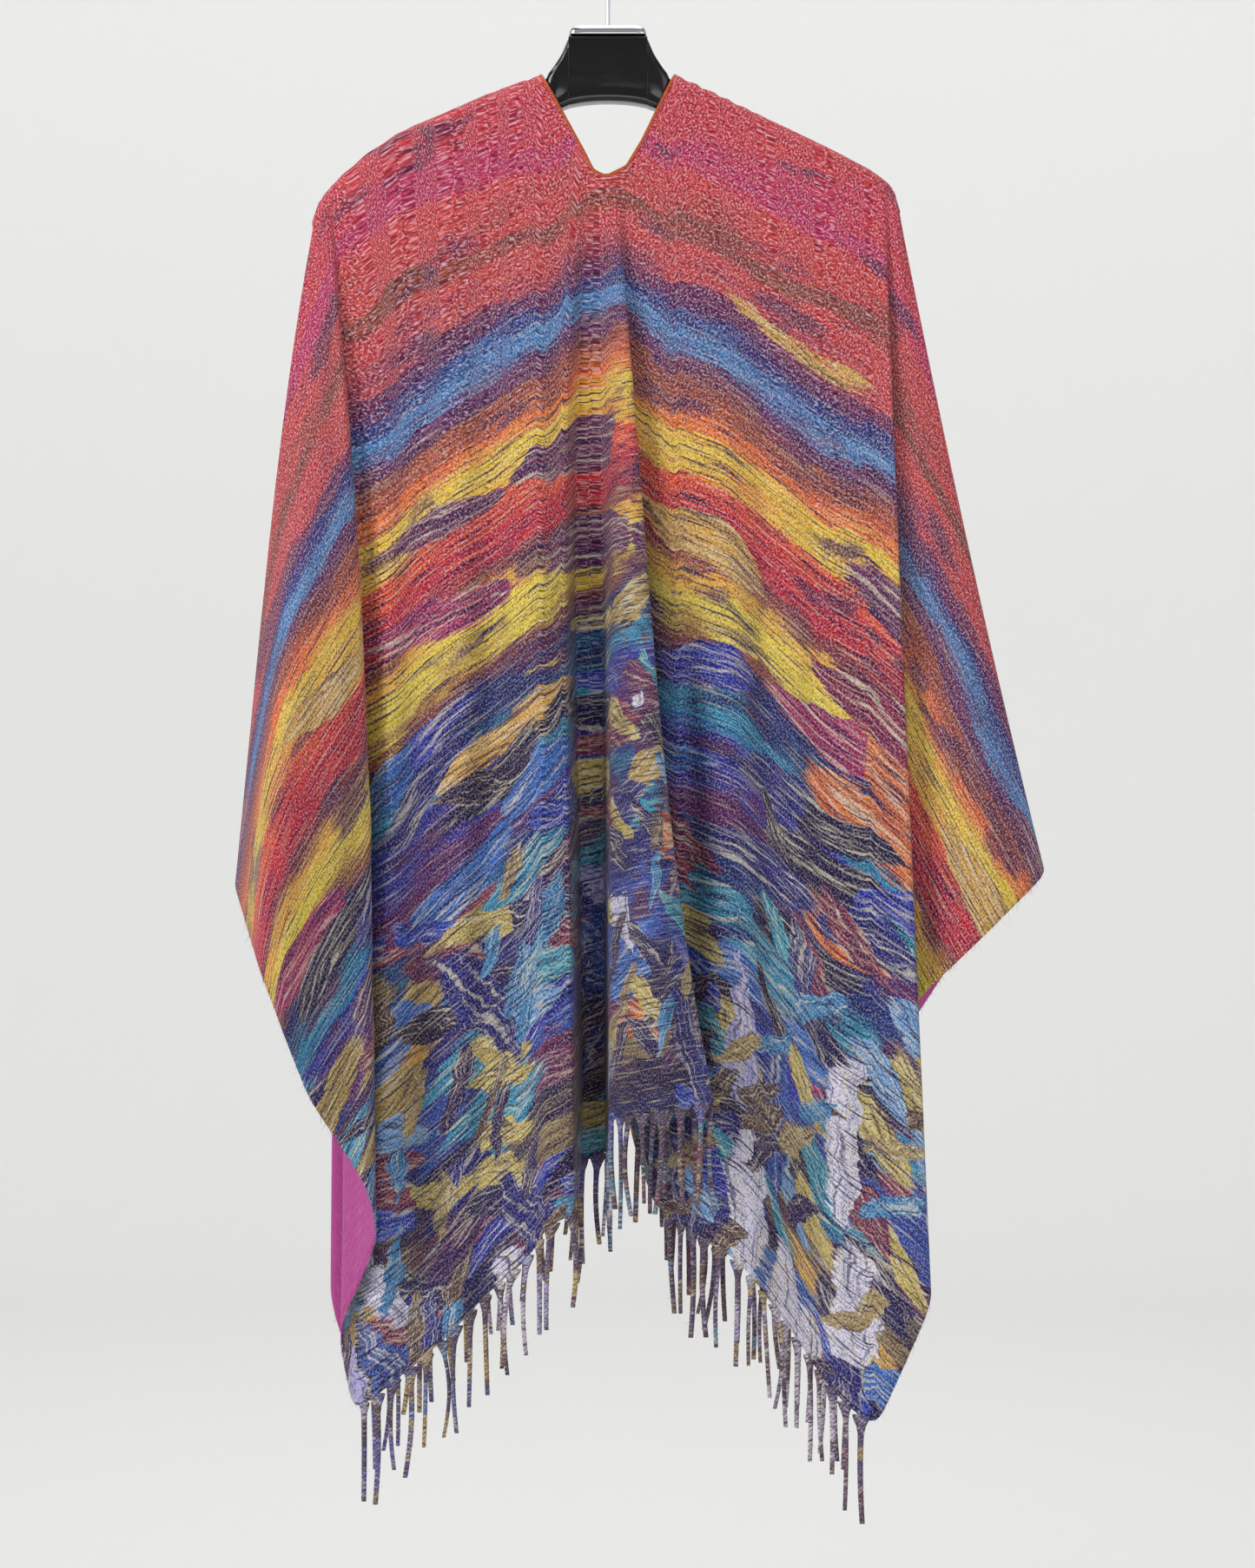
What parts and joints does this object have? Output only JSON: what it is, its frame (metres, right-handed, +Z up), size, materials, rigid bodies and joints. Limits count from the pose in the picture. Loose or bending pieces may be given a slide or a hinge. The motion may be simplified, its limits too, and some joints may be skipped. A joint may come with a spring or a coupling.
{
  "type": "ruana on a hanger",
  "caption": "Open-front ruana of a fringed rectangle of brushed cloth, slit and bound at the neck, hanging in soft folds on a moulded hanger with a wire hook.",
  "frame": {"origin": "inside top of the hanger's hook, where a rail carries it", "axes": "+X along the hanger towards its right-hand end in the picture, -Y out of the garment's back, which the picture shows, +Y out of its open front, +Z up"},
  "size_m": [0.5739, 0.242, 1.137],
  "materials": {
    "cloth": "brushed double-faced cloth, patterned outside and magenta inside",
    "binding": "matt folded tape, rust orange",
    "fringe": "soft twisted yarn",
    "black_plastic": "moulded gloss black",
    "chrome": "bright plated"
  },
  "bodies": {
    "root": {"back_panel": "cloth", "front_left_panel": "cloth", "front_right_panel": "cloth", "neck_binding": "binding", "front_binding_left": "binding", "front_binding_right": "binding", "back_fringe": "fringe", "front_left_fringe": "fringe", "front_right_fringe": "fringe", "hanger_body": "black_plastic", "hanger_cap": "chrome", "hanger_hook": "chrome"}
  },
  "joints": []
}
